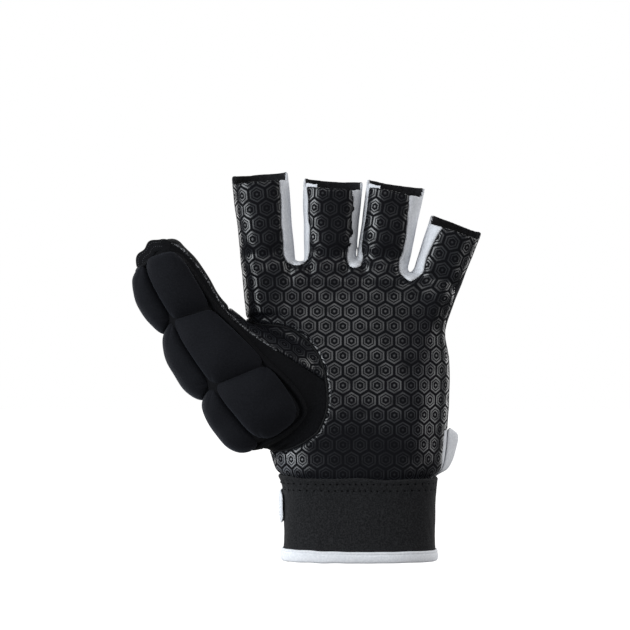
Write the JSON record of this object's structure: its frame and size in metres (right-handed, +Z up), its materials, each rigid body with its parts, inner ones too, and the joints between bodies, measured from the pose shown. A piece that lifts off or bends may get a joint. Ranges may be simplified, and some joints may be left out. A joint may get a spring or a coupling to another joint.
{
  "type": "field hockey glove",
  "caption": "Left-hand field hockey glove with open fingers, a closed thumb under foam blocks, a moulded back and a bound wrist cuff.",
  "frame": {"origin": "middle of the cuff's mouth, where the wrist goes in", "axes": "+Z up the hand towards the fingers, -Y out of the palm, -X towards the thumb's side"},
  "size_m": [0.1569, 0.0629, 0.1751],
  "materials": {
    "printed_leather": "matt synthetic leather with a raised grey print",
    "moulded_back": "matt knit over moulded foam",
    "white_stretch": "thin stretch fabric",
    "neoprene": "knit-faced neoprene",
    "foam_cover": "smooth brushed knit over foam",
    "white_binding": "folded tape",
    "white_strap": "elastic webbing"
  },
  "bodies": {
    "root": {"palm_panel": "printed_leather", "back_panel": "moulded_back", "back_block_index_low": "moulded_back", "back_block_index_high": "moulded_back", "back_block_middle_low": "moulded_back", "back_block_middle_high": "moulded_back", "back_block_ring_low": "moulded_back", "back_block_ring_high": "moulded_back", "back_block_little_low": "moulded_back", "back_block_little_high": "moulded_back", "back_block_hand_index_low": "moulded_back", "back_block_hand_index_high": "moulded_back", "back_block_hand_middle_low": "moulded_back", "back_block_hand_middle_high": "moulded_back", "back_block_hand_ring_low": "moulded_back", "back_block_hand_ring_high": "moulded_back", "back_block_hand_little_low": "moulded_back", "back_block_hand_little_high": "moulded_back", "gusset_index_middle": "white_stretch", "gusset_middle_ring": "white_stretch", "gusset_ring_little": "white_stretch", "thumb_outer": "neoprene", "thumb_inner": "printed_leather", "thumb_guard": "foam_cover", "thumb_block_inner_tip": "foam_cover", "thumb_block_inner_knuckle": "foam_cover", "thumb_block_inner_base": "foam_cover", "thumb_block_outer_tip": "foam_cover", "thumb_block_outer_knuckle": "foam_cover", "thumb_block_outer_base": "foam_cover", "wrist_vent": "white_stretch", "cuff": "neoprene", "cuff_binding": "white_binding", "wrist_strap": "white_strap"}
  },
  "joints": []
}
